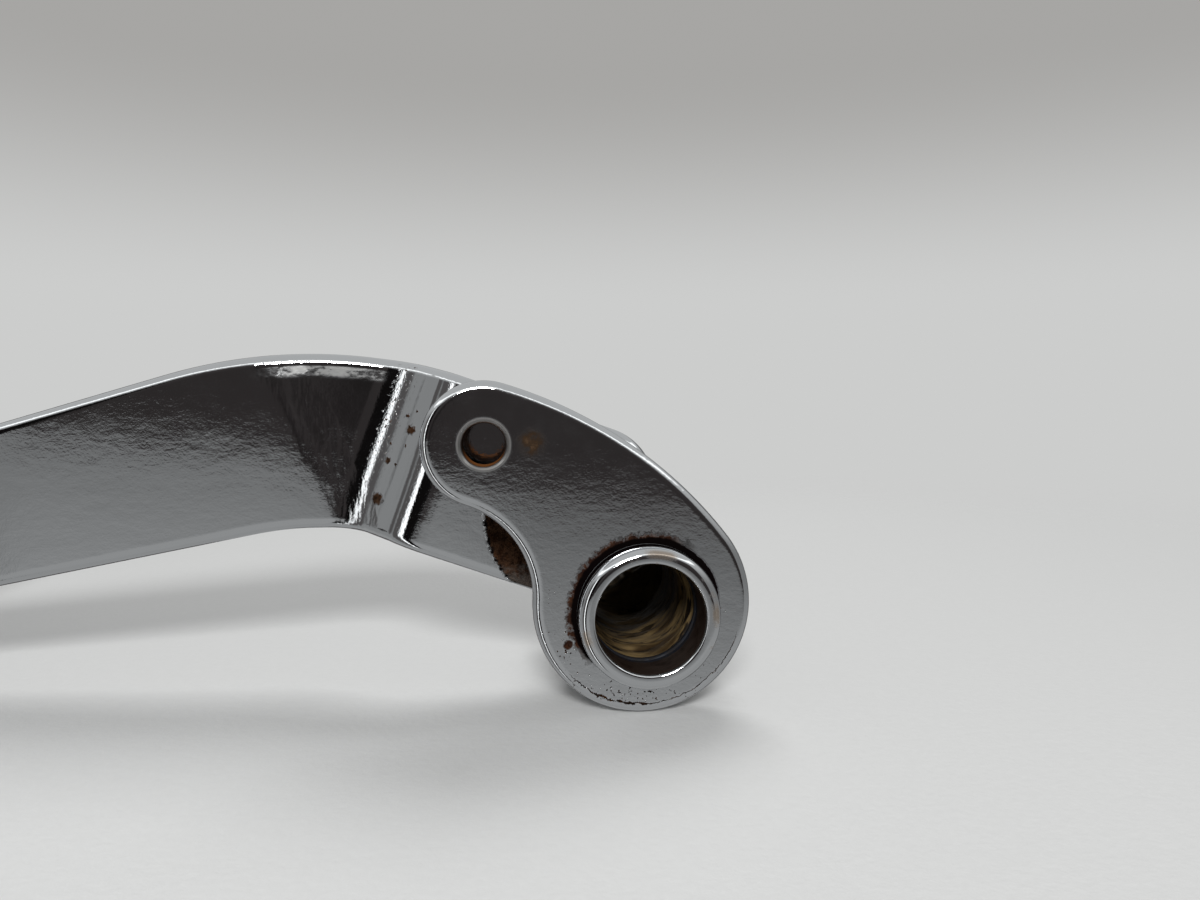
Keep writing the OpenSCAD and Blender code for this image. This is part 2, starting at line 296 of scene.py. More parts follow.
def effect(name, inputs, outputs):
    """Starts a node group. Returns it, its inputs as fields, and the sockets of its outputs."""
    tree = bpy.data.node_groups.new(name, "ShaderNodeTree")
    for label, kind, default in inputs:
        socket = tree.interface.new_socket(name=label, in_out="INPUT", socket_type="NodeSocket" + kind)
        socket.default_value = default
    for label, kind in outputs:
        tree.interface.new_socket(name=label, in_out="OUTPUT", socket_type="NodeSocket" + kind)
    source = tree.nodes.new("NodeGroupInput")
    target = tree.nodes.new("NodeGroupOutput")
    return tree, [Field(source.outputs[label]) for label, _, _ in inputs], target.inputs


def use(group, at, **amounts):
    """Adds a node group at a place and returns its two outputs."""
    made = put(at.tree, "Group", {"Place": at, **amounts}, node_tree=group)
    return Field(made.outputs[0]), Field(made.outputs[1])


# Orange peel: the low waves that plating leaves on a face that was not polished flat
peel, (place, fine_amount, broad_amount), peel_out = effect(
    "orange_peel",
    [("Place", "Vector", (0, 0, 0)), ("Fine", "Float", 1.0), ("Broad", "Float", 1.0)],
    [("Height", "Float"), ("Smear", "Float")])
fine = cloud(place, 0.9, 3.0, 0.6, (0.6, 1.0, 1.0))
broad = cloud(place, 6.0, 2.0, 0.5, (0.6, 1.0, 1.0))
grit = cloud(place, 0.35, 2.0, 0.6)
feed(peel_out["Height"], (fine + grit * 0.5) * (fine_amount * 0.008) + broad * (broad_amount * 0.03))
feed(peel_out["Smear"], fade(cloud(place, 4.0, 4.0, 0.7), 0.35, 0.75))

# Rust colour: dark brown to orange, in lumps
rust, (place, orange), rust_out = effect(
    "rust_colour", [("Place", "Vector", (0, 0, 0)), ("Orange", "Float", 0.5)],
    [("Color", "Color"), ("Height", "Float")])
lumps = cloud(place, 0.8, 5.0, 0.65)
deep = blend(fade(lumps, 0.35, 0.65), (0.010, 0.006, 0.004), (0.06, 0.032, 0.018))
bright = fade(cloud(place, 1.7, 3.0), 0.45, 0.7) * orange
feed(rust_out["Color"], blend(bright, deep, (0.22, 0.075, 0.018)))
feed(rust_out["Height"], lumps * 0.25)


def finish_of(name):
    """Starts a material and returns it, its tree and its Principled shader."""
    material = bpy.data.materials.new(name)
    material.use_nodes = True
    tree = material.node_tree
    return material, tree, tree.nodes["Principled BSDF"]


def set_finish(shader, **values):
    for name, value in values.items():
        feed(shader.inputs[name.replace("_", " ")], value)


def relief(height, distance=MM, strength=1.0):
    """A bump from a height, which is in millimetres unless the distance says otherwise."""
    inputs = {"Height": height, "Distance": distance, "Strength": strength}
    return Field(put(height.tree, "Bump", inputs).outputs["Normal"])


CHROME = (0.60, 0.61, 0.625)
# Black for pits and the crack, and for painted shade in the corner round the tube
BLACK_GRIME_AND_SHADE = (0.003, 0.002, 0.002)
# Tan of the stains on the lip and of the painted reflections there
TAN_STAIN_AND_REFLECTION = (0.27, 0.20, 0.135)
MATT = 0.0  # specular level of dirt and paper; bare metal isn't changed by it
# x, z and size of the painted tan reflections on the lip: at its top, its right and its lower left
TAN_REFLECTIONS = ((1.6, 10.3, 2.6), (10.4, 0.8, 2.0), (-10.1, -2.9, 1.8))
TAN_REFLECTION_Y = -24.5
LIP_CREST_R = 10.0


def tube_finish():
    material, tree, shader = finish_of("tube_chrome")
    at, x, y, z = place_of(tree)
    radius = length(x, z)
    depth = TUBE_HALF - abs(y)
    bore = fade(radius, 10.0, 9.8) * fade(depth, 0.3, 0.5)
    turned = cloud(at, 0.8, 3.0, 0.6, (0.02, 3.0, 0.02))
    smears = cloud(at, 2.5, 4.0, 0.6)
    flecks = cloud(at, 0.9, 4.0, 0.7)
    land = blend(fade(turned, 0.3, 0.7), (0.018, 0.012, 0.009), (0.055, 0.036, 0.028))
    land = blend(fade(smears, 0.5, 0.68), land, (0.016, 0.009, 0.006))
    stain = fade(smears, 0.6, 0.72) * fade(depth, 2.5, 0.0, 0.0, 0.4) * (1.0 - bore)
    # Painted tan reflections on the lip's crest, ragged at their edges; from here the stain also holds them
    tan = []
    for reflection_x, reflection_z, size in TAN_REFLECTIONS:
        reach = vector("DISTANCE", at, (reflection_x, TAN_REFLECTION_Y, reflection_z))
        tan.append(fade(reach + flecks * 3.0, size + 1.9, size + 0.3))
    crest = fade(abs(radius - LIP_CREST_R), 0.85, 0.35)
    stain = most(stain, most(*tan) * crest * 0.75)
    outside = blend(stain, CHROME, TAN_STAIN_AND_REFLECTION)
    # Painted black shade on the tube's side, where it stands out of the plate
    tube_side_shade = (1.0 - bore) * fade(y, -20.0, -21.0) * fade(depth + smears * 1.2, 2.1, 2.5)
    outside = blend(tube_side_shade, outside, BLACK_GRIME_AND_SHADE)
    waves, haze = use(peel, at, Fine=0.6, Broad=0.1)
    set_finish(
        shader, Base_Color=blend(bore, outside, land), Specular_IOR_Level=MATT,
        Metallic=vary(bore, bare(tube_side_shade + stain * 0.3), 0.4),
        Roughness=vary(bore, vary(tube_side_shade, vary(haze, 0.04, 0.09), 0.7), vary(smears, 0.28, 0.5)),
        Normal=relief(vary(bore, waves, turned * 0.035)))
    return material


tube = lathe("tube", tube_profile())
dress(tube, "pivot_tube", tube_finish())


# -------------------------------------------------------------- Grease seals
# Two black rubber rings, each with a hollow between two lips. They sit in the
# grooves of the bore, dulled by old grease.

SEAL_GAP = 0.05
SEAL_HOLLOW_R = 0.6
SEAL_LIP_R = 0.25


def seal_finish():
    material, tree, shader = finish_of("seal_rubber")
    at = place_of(tree)[0]
    wet = fade(cloud(at, 1.5, 3.0), 0.4, 0.6)
    set_finish(
        shader, Base_Color=blend(wet, (0.006, 0.008, 0.014), (0.012, 0.011, 0.012)),
        Roughness=vary(wet, 0.5, 0.7), Specular_IOR_Level=0.15,
        Normal=relief(cloud(at, 0.5, 3.0) * 0.05))
    return material


def seal_profile(y):
    inner, outer, half = BORE_R, GROOVE_R - SEAL_GAP, GROOVE_W / 2 - SEAL_GAP
    lip_r, lip_y = inner + SEAL_LIP_R, half - SEAL_LIP_R
    profile = curve((inner, y), SEAL_HOLLOW_R, 90, -90, 12)
    profile += curve((lip_r, y - lip_y), SEAL_LIP_R, 180, 270, 4)
    profile += [Vector((outer, y - half)), Vector((outer, y + half))]
    return profile + curve((lip_r, y + lip_y), SEAL_LIP_R, 90, 180, 4)


seal_material = seal_finish()
for seal_node, side in (("inner_grease_seal", -1), ("outer_grease_seal", 1)):
    seal = lathe(seal_node + "_ring", seal_profile(side * (TUBE_HALF - LAND - GROOVE_W / 2)), 120)
    dress(seal, seal_node, seal_material)


# ---------------------------------------------------------------- Old grease
# Yellow-brown grease, drawn into ridges by the shaft, with painted shadows along
# the ridges and painted shade that deepens towards its outer end. It lines the
# bore between the lands, and a thick lump in the lower half of its outer end
# stands in for the shade there.

GREASE_FROM, GREASE_TO = -14.6, 24.2
SHADE_LUMP_AWAY = -56.5
SHADE_LUMP_FROM = 14.0
SHADE_LUMP_TOP_R = 8.42
GREASE_SUNK = 0.02


def grease_depth(angle, y):
    """Thickness of the grease on the wall of the bore, in millimetres."""
    around = Vector((math.cos(angle), math.sin(angle)))
    ridge = noise.noise((around.x * 1.1, y * 0.42, around.y * 1.1))
    small = noise.noise((around.x * 2.6 + 7, y * 1.1, around.y * 2.6))
    depth = 0.16 + 0.95 * max(0.0, ridge + 0.05) + 0.22 * small
    ends = min(1.0, (y - GREASE_FROM) / 0.8, (GREASE_TO - y) / 0.6)
    # A thick lump in the lower half of the outer end stands in for the shade there
    toward = math.cos(angle - math.radians(SHADE_LUMP_AWAY))
    shade_lump = 0.0
    if toward > 0.2 and y > SHADE_LUMP_FROM:
        rise = min(1.0, (y - SHADE_LUMP_FROM) / 6.0)
        shade_lump = (SHADE_LUMP_TOP_R - (2.0 + 0.5 * small) / toward) * rise * rise * (3 - 2 * rise)
    return max(0.03, max(depth, shade_lump) * math.sqrt(max(0.0, ends)))


def grease_mesh():
    around, along = 192, 110
    inner, outer = [], []
    for i in range(along + 1):
        y = GREASE_FROM + (GREASE_TO - GREASE_FROM) * i / along
        wall = (RELIEF_R if abs(y) < TUBE_HALF - LAND - GROOVE_W else BORE_R) - GREASE_SUNK
        for j in range(around):
            angle = 2 * math.pi * j / around
            r = wall - grease_depth(angle, y)
            inner.append((r * math.cos(angle), y, r * math.sin(angle)))
            outer.append((wall * math.cos(angle), y, wall * math.sin(angle)))
    skin = len(inner)
    last = along * around
    faces = quads(skin, 0, around) + quads(last, skin + last, around)
    for ring in range(0, last, around):
        faces += quads(ring, ring + around, around)
        faces += quads(skin + ring + around, skin + ring, around)
    return mesh_piece("old_grease", inner + outer, faces, 60)


def grease_finish():
    material, tree, shader = finish_of("old_grease")
    at, _, y, _ = place_of(tree)
    streaks = cloud(at, 3.6, 2.0, 0.5, (0.5, 1.5, 0.5))
    fresh = blend(fade(streaks, 0.36, 0.62), (0.04, 0.024, 0.010), (0.185, 0.127, 0.056))
    # Near-black streaks are painted shadows along the grease's ridges
    black_shade = fade(cloud(at, 2.2, 3.0, 0.6, (0.35, 2.2, 0.35)), 0.56, 0.62)
    # Painted shade, deepening towards the outer end of the bore
    depth_shade = fade(y, -12.0, 10.0) * 0.7
    set_finish(
        shader, Base_Color=blend(depth_shade, blend(black_shade, fresh, (0.008, 0.005, 0.003)), (0.03, 0.02, 0.009)),
        Roughness=vary(streaks, 0.45, 0.65), Specular_IOR_Level=0.2, Normal=relief(streaks * 0.25))
    return material


grease = grease_mesh()
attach(grease, "root")
grease.data.materials.append(grease_finish())


# ------------------------------------------------------------ Actuator plate
# A lobed plate cut from 5.5 mm steel, its edges rounded and then chromed. It
# stands square on the tube and takes the brake rod's pin in its small end. The
# corner round the tube is painted black as shade, with a rusty fringe.

PLATE_T = 5.5
PLATE_Y = -17.75
PLATE_EDGE = 1.5
BIG_AT = Vector((-0.6, 1.4))
BIG_R = 17.2
PIN_REACH, PIN_BEARING = 36.5, math.radians(133.5)
PIN_AT = Vector((PIN_REACH * math.cos(PIN_BEARING), PIN_REACH * math.sin(PIN_BEARING)))
PIN_LOBE_R = 9.8
PLATE_HOLLOW_R = 15.0
PLATE_BULGE_R = 70.0
PIN_HOLE_R = 3.3
PIN_CHAMFER = 0.8
CUT_PAST = 1.5
FACE_HOLD, SIDE_HOLD = 0.3, 0.06

BLOT_AT = (-12.4, -4.6)
STAIN_AT = PIN_AT + Vector((7.2, 0.2))


def meet(a, reach_a, b, reach_b):
    """The point at those distances from a and b, on the left of the way from a to b."""
    way = b - a
    apart = way.length
    along = (apart ** 2 + reach_a ** 2 - reach_b ** 2) / (2 * apart)
    aside = math.sqrt(reach_a ** 2 - along ** 2)
    way.normalize()
    return a + way * along + Vector((-way.y, way.x)) * aside


def bearing(way, above=None):
    """The way's angle in degrees, with whole turns added until it is above a limit."""
    angle = math.degrees(math.atan2(way.y, way.x))
    while above is not None and angle < above:
        angle += 360
    return angle


def joined(*runs):
    """One closed outline from several runs, without points that repeat."""
    outline = []
    for run in runs:
        for point in run:
            if not outline or (point[0] - outline[-1][0]).length > 0.01:
                outline.append(point)
    if (outline[0][0] - outline[-1][0]).length <= 0.01:
        outline.pop()
    return outline


def plate_outline():
    hollow = meet(BIG_AT, BIG_R + PLATE_HOLLOW_R, PIN_AT, PIN_LOBE_R + PLATE_HOLLOW_R)
    bulge = meet(BIG_AT, PLATE_BULGE_R - BIG_R, PIN_AT, PLATE_BULGE_R - PIN_LOBE_R)
    big_from = bearing(hollow - BIG_AT)
    big_to = bearing(BIG_AT - bulge, big_from)
    lobe_from = bearing(PIN_AT - bulge, big_to)
    lobe_to = bearing(hollow - PIN_AT, lobe_from)
    return joined(
        arc(BIG_AT, BIG_R, big_from, big_to, 110),
        arc(bulge, PLATE_BULGE_R, big_to, lobe_from, 30),
        arc(PIN_AT, PIN_LOBE_R, lobe_from, lobe_to, 70),
        arc(hollow, PLATE_HOLLOW_R, bearing(PIN_AT - hollow, 0), bearing(BIG_AT - hollow), 44, False))


def rounded_bar(name, outline, thick, edge, place, caps, steps=10):
    """A bar that follows an outline, with its edges rounded; place() puts a flat point into space."""
    quarter = [math.radians(90 * k / steps) for k in range(steps + 1)]
    # The first and the last line hold the flat faces flat beside the rounding
    front = [(edge + FACE_HOLD, -thick / 2)]
    front += [(edge * (1 - math.sin(a)), edge * (1 - math.cos(a)) - thick / 2) for a in quarter]
    front.append((0, edge + SIDE_HOLD - thick / 2))
    section = front + [(inset, -height) for inset, height in reversed(front)]
    points = [place(p + inward * inset, height) for inset, height in section for p, inward in outline]
    count = len(outline)
    last = (len(section) - 1) * count
    faces = []
    for ring in range(0, last, count):
        faces += quads(ring, ring + count, count)
    for cap in caps:
        faces.append(tuple(cap))
        faces.append(tuple(last + i for i in reversed(cap)))
    return mesh_piece(name, points, faces)


def apply_modifiers(piece):
    result = bpy.data.meshes.new_from_object(piece.evaluated_get(bpy.context.evaluated_depsgraph_get()))
    piece.modifiers.clear()
    piece.data = result


def cut_with(piece, cutter):
    """Takes the cutter's shape out of a piece."""
    step = piece.modifiers.new("cut", "BOOLEAN")
    step.operation = "DIFFERENCE"
    step.solver = "EXACT"
    step.object = cutter
    apply_modifiers(piece)
    bpy.data.objects.remove(cutter)
    smooth(piece)


def round_cutter(profile, x, z, steps=160):
    """A turned cutter with flat ends, on an axis along Y, from (radius, y) points."""
    points = []
    faces = []
    count = len(profile)
    for i in range(steps):
        angle = 2 * math.pi * i / steps
        points += [(x + r * math.cos(angle), y, z + r * math.sin(angle)) for r, y in profile]
        faces += quads(i * count, (i + 1) % steps * count, count, closed=False)
    faces.append(tuple(i * count for i in range(steps)))
    faces.append(tuple(i * count + count - 1 for i in reversed(range(steps))))
    return mesh_piece("cutter", points, faces)


def plate_finish():
    material, tree, shader = finish_of("plate_chrome")
    at, x, y, z = place_of(tree)
    waves, haze = use(peel, at, Fine=1.7, Broad=0.9)
    rusty, flakes = use(rust, at, Orange=0.35)
    ragged = cloud(at, 1.1, 5.0, 0.7)
    front = fade(y, -16.5, -17.5)
    radius = length(x, z)
    # Painted black shade fills the corner round the tube, widest at its upper left, with a rusty fringe
    toward = (x * -0.74 + z * 0.67) / radius
    above = (x * 0.55 + z * 0.83) / radius
    reach = most(fade(toward, -0.6, 0.95, 0.1, 0.95), fade(above, 0.4, 0.95, 0.1, 1.1))
    edge = radius - TUBE_R - reach
    black_shade = front * fade(edge + ragged * 0.7, 0.5, 0.2)
    fringe = front * fade(toward, 0.0, 0.45) * fade(edge + ragged * 3.4, 2.6, 1.9)
    blot = fade(off_from(x, z, BLOT_AT)[2], 1.4, 0.1)
    fringe = most(fringe, front * fade(blot * ragged, 0.2, 0.32))
    # Pits below and left of the tube, and a few elsewhere
    few = fade(x * 0.5 + z, -8.0, -14.0, 0.72, 0.66)
    few = few + fade(cloud(at, 3.5, 2.0), 0.42, 0.62, 0.09, -0.04)
    pits = front * fade(cloud(at, 0.42, 1.0, 0.5) - few, 0.0, 0.03) * fade(z, 6.0, 2.0)
    # A cracked line in the plating follows the rounded edge of the big end
    dx, dz, away = off_from(x, z, BIG_AT)
    wander = cloud(at, 1.1, 4.0, 0.75) - 0.5
    off = abs(away - (BIG_R - PLATE_EDGE) + wander)
    thick = window(dx, -9.0, -6.0, -0.5, 2.0)
    width = thick * fade(cloud(at, 0.9, 4.0, 0.7), 0.42, 0.6, 0.0, 0.2) + 0.02
    crack = front * fade(off - width, 0.07, 0.02) * fade(dz + dx * -0.22, -7.5, -10.0)
    marks = most(pits, crack)
    # A brown stain beside the pin hole, a dull ring round the hole, and rust on its lower wall
    stain = front * fade(off_from(x, z, STAIN_AT)[2], 3.5, 0.1) * fade(ragged, 0.3, 0.7, 0.35, 1.0)
    _, above_pin, from_pin = off_from(x, z, PIN_AT)
    mouth = PIN_HOLE_R + PIN_CHAMFER
    in_hole = fade(from_pin, PIN_HOLE_R + 0.12, PIN_HOLE_R + 0.05)
    inside = most(in_hole, fade(y, -16.6, -16.2) * fade(from_pin, mouth + 0.2, mouth))
    ring = front * fade(from_pin, mouth + 0.35, mouth - 0.1)
    dirt = most(fringe, marks, inside)
    dirt_and_shade = most(dirt, black_shade)
    colour = blend(ring * 0.8, CHROME, (0.2, 0.19, 0.18))
    colour = blend(fade(stain, 0.0, 0.6), colour, (0.2, 0.125, 0.075))
    colour = blend(dirt, colour, rusty)
    colour = blend(fringe * 0.7, colour, (0.02, 0.009, 0.007))
    colour = blend(inside, colour, (0.022, 0.014, 0.011))
    colour = blend(in_hole * fade(above_pin, -0.4, -2.4), colour, (0.13, 0.05, 0.016))
    # Painted black shade in the corner round the tube, and black pits and crack
    colour = blend(most(black_shade, marks * 0.75), colour, BLACK_GRIME_AND_SHADE)
    set_finish(
        shader, Base_Color=colour, Specular_IOR_Level=MATT,
        Metallic=bare(most(fade(dirt_and_shade, 0.4, 1.0), stain * stain * 0.38)),
        Roughness=vary(fade(dirt_and_shade, 0.5, 1.0), vary(ring, vary(haze, 0.05, 0.1), 0.32), 0.75),
        Normal=relief(waves + dirt_and_shade * flakes * 0.03 - marks * 0.02))
    return material


outline = with_holding_points(plate_outline())
plate = rounded_bar(
    "plate", outline, PLATE_T, PLATE_EDGE, lambda p, h: (p.x, PLATE_Y + h, p.y), [list(range(len(outline)))])
cut_with(plate, round_cutter([(TUBE_R, -30), (TUBE_R, 10)], 0, 0))
plate_front = PLATE_Y - PLATE_T / 2
hole = [(PIN_HOLE_R + PIN_CHAMFER + CUT_PAST, plate_front - CUT_PAST)]
hole += [(PIN_HOLE_R + PIN_CHAMFER * (1 - math.sin(math.radians(a))),
          plate_front + PIN_CHAMFER * (1 - math.cos(math.radians(a)))) for a in (20, 35, 50, 65, 80, 90)]
hole = hole + [(r, 2 * PLATE_Y - y) for r, y in reversed(hole)]
cut_with(plate, round_cutter(hole, PIN_AT.x, PIN_AT.y))
dress(plate, "actuator_plate", plate_finish())


# ----------------------------------------------------------------- Pedal arm
# One flat steel bar, bent edgewise, joggled away from the plate and carried
# round the tube as a boss, with all its edges rounded before chroming. Rust has
# come through in the joggle and in a bare patch beside the plate.

ARM_T = 7.0
ARM_Y = -2.5
ARM_EDGE = 1.8
ARM_W = 30.6
ARM_RAISE = 10.2
FALL, RISE = 19.5, 14.0
TURN = FALL + RISE
BEND_R = 70.0
BEND_START = 37.2
TAPER = 3.0
RUN = 120.0
BOSS_R, BOSS_HOLLOW_R = 14.5, 3.0
CORNER_R, CORNER_BACK = 10.5, 12.4
TIP_LOW_R, TIP_HIGH_R = 13.0, 3.5
STEP, STEP_ANGLE, STEP_BACK = 9.0, 41.0, 44.1
NEAR_R, FAR_R = 7.0, 14.0

slope_rad = math.radians(STEP_ANGLE)
step_half = STEP / (2 * math.tan(slope_rad))
near_bend, far_bend = step_half - STEP_BACK, -step_half - STEP_BACK
near_end = near_bend + NEAR_R * math.tan(slope_rad / 2)
far_end = far_bend - FAR_R * math.tan(slope_rad / 2)
near_from = near_end - NEAR_R * math.sin(slope_rad)
far_to = far_end + FAR_R * math.sin(slope_rad)
HIGH_R, LOW_R = BEND_R + ARM_W / 2, BEND_R - ARM_W / 2
BEND_AT = Vector((-BEND_START, ARM_RAISE - BEND_R))

# x, z and size of the rust spots in the joggle
RUST_SPOTS = ((-37.9, 28.2, 0.95), (-42.0, 22.9, 0.6), (-40.5, 22.2, 0.4), (-43.9, 16.3, 1.25),
              (-38.5, 30.5, 0.45), (-36.8, 31.3, 0.35), (-38.8, 25.4, 0.3), (-41.6, 25.8, 0.3))
PATCH_AT, PATCH_R = (-9.5, 13.5), 16.7
LEAN_FROM = 58.8
SLOPE_HOLD = 0.15


def step_slope(s):
    """Slope of the bar's middle surface at s, in radians."""
    if s >= near_end or s <= far_end:
        return 0.0
    if s > near_from:
        return math.asin((near_end - s) / NEAR_R)
    if s < far_to:
        return math.asin((s - far_end) / FAR_R)
    return slope_rad


def step_y(s):
    """Place of the bar's middle surface at s, along the tube's axis."""
    if s >= near_end:
        return ARM_Y
    if s <= far_end:
        return ARM_Y + STEP
    if s > near_from:
        return ARM_Y + NEAR_R * (1 - math.cos(step_slope(s)))
    if s < far_to:
        return ARM_Y + STEP - FAR_R * (1 - math.cos(step_slope(s)))
    return ARM_Y + (near_bend - s) * math.tan(slope_rad)


def to_space(s, t):
    """From along and across the bar beside the pivot to x and z."""
    fall = math.radians(FALL)
    return s * math.cos(fall) + t * math.sin(fall), t * math.cos(fall) - s * math.sin(fall)


def arm_place(p, height):
    slope = step_slope(p.x)
    x, z = to_space(p.x + height * math.sin(slope), p.y)
    return x, step_y(p.x) + height * math.cos(slope), z


def edge_lean(s, radius):
    return math.asin((-BEND_START - s) / radius) if s < -BEND_START else 0.0


def edge_point(s, radius, side):
    """A point of the bar's upper (1) or lower (-1) edge; its way in runs along the bend's lines."""
    lean = edge_lean(s, radius)
    return Vector((s, BEND_AT.y + radius * math.cos(lean))), Vector((0, -side / math.cos(lean)))


def step_stations():
    """Where the joggle's bends are divided, with holding lines just outside each bend."""
    far = [far_end + FAR_R * math.sin(slope_rad * i / 28) for i in range(29)]
    near = [near_end - NEAR_R * math.sin(slope_rad * i / 20) for i in range(20, -1, -1)]
    between = [far[-1] + SLOPE_HOLD, near[0] - SLOPE_HOLD]
    return [far_end - FACE_HOLD] + far + between + near + [near_end + FACE_HOLD]


def toward_degrees(angle):
    return Vector((math.cos(math.radians(angle)), math.sin(math.radians(angle))))


def run_corner(along, radius, upper):
    """Centre of a corner circle that touches an edge of the long run, near the tip."""
    taper = math.radians(TAPER)
    if upper:
        height = (HIGH_R - radius - along * math.sin(taper)) / math.cos(taper)
    else:
        height = (LOW_R + radius + along * math.sin(taper)) / math.cos(taper)
    return BEND_AT + toward_degrees(180 + TURN) * along + toward_degrees(90 + TURN) * height


def arm_outline():
    """Anticlockwise: the joggle's lower edge, the end round the tube, its upper edge, the run and tip."""
    stations = step_stations()
    low_edge = ARM_RAISE - ARM_W / 2
    hollow = Vector((-math.sqrt((BOSS_R + BOSS_HOLLOW_R) ** 2 - (low_edge - BOSS_HOLLOW_R) ** 2),
                     low_edge - BOSS_HOLLOW_R))
    corner = Vector((-CORNER_BACK, ARM_RAISE + ARM_W / 2 - CORNER_R))
    corner_end = bearing(-corner) + math.degrees(math.acos((CORNER_R - BOSS_R) / corner.length))
    low = [edge_point(s, LOW_R, -1) for s in stations]
    high = [edge_point(s, HIGH_R, 1) for s in reversed(stations)]
    near = with_holding_points(joined(
        arc(hollow, BOSS_HOLLOW_R, 90, bearing(-hollow), 14, False),
        arc((0, 0), BOSS_R, bearing(hollow, 0) - 360, corner_end, 90),
        arc(corner, CORNER_R, corner_end, 90, 24)))
    lean_high = 90 + math.degrees(edge_lean(stations[0], HIGH_R))
    lean_low = 90 + math.degrees(edge_lean(stations[0], LOW_R))
    far = with_holding_points(joined(
        arc(BEND_AT, HIGH_R, lean_high + 1, 90 + TURN + TAPER, 24),
        arc(run_corner(RUN - TIP_HIGH_R, TIP_HIGH_R, True), TIP_HIGH_R, 90 + TURN + TAPER, 180 + TURN, 16),
        arc(run_corner(RUN - TIP_LOW_R, TIP_LOW_R, False), TIP_LOW_R, 180 + TURN, 270 + TURN - TAPER, 30),
        arc(BEND_AT, LOW_R, 90 + TURN - TAPER, lean_low + 1, 24, False)))
    # The last two holding points close each loop across the bar, so they go
    near = near[:-2]
    far = far[:-2]
    caps = []
    count = len(stations)
    top = count + len(near)
    for i in range(count - 1):
        caps.append([i, i + 1, top + count - 2 - i, top + count - 1 - i])
    outline = low + near + high + far
    caps.append(list(range(count - 1, top + 1)))
    caps.append([i % len(outline) for i in range(top + count - 1, len(outline) + 1)])
    return outline, caps


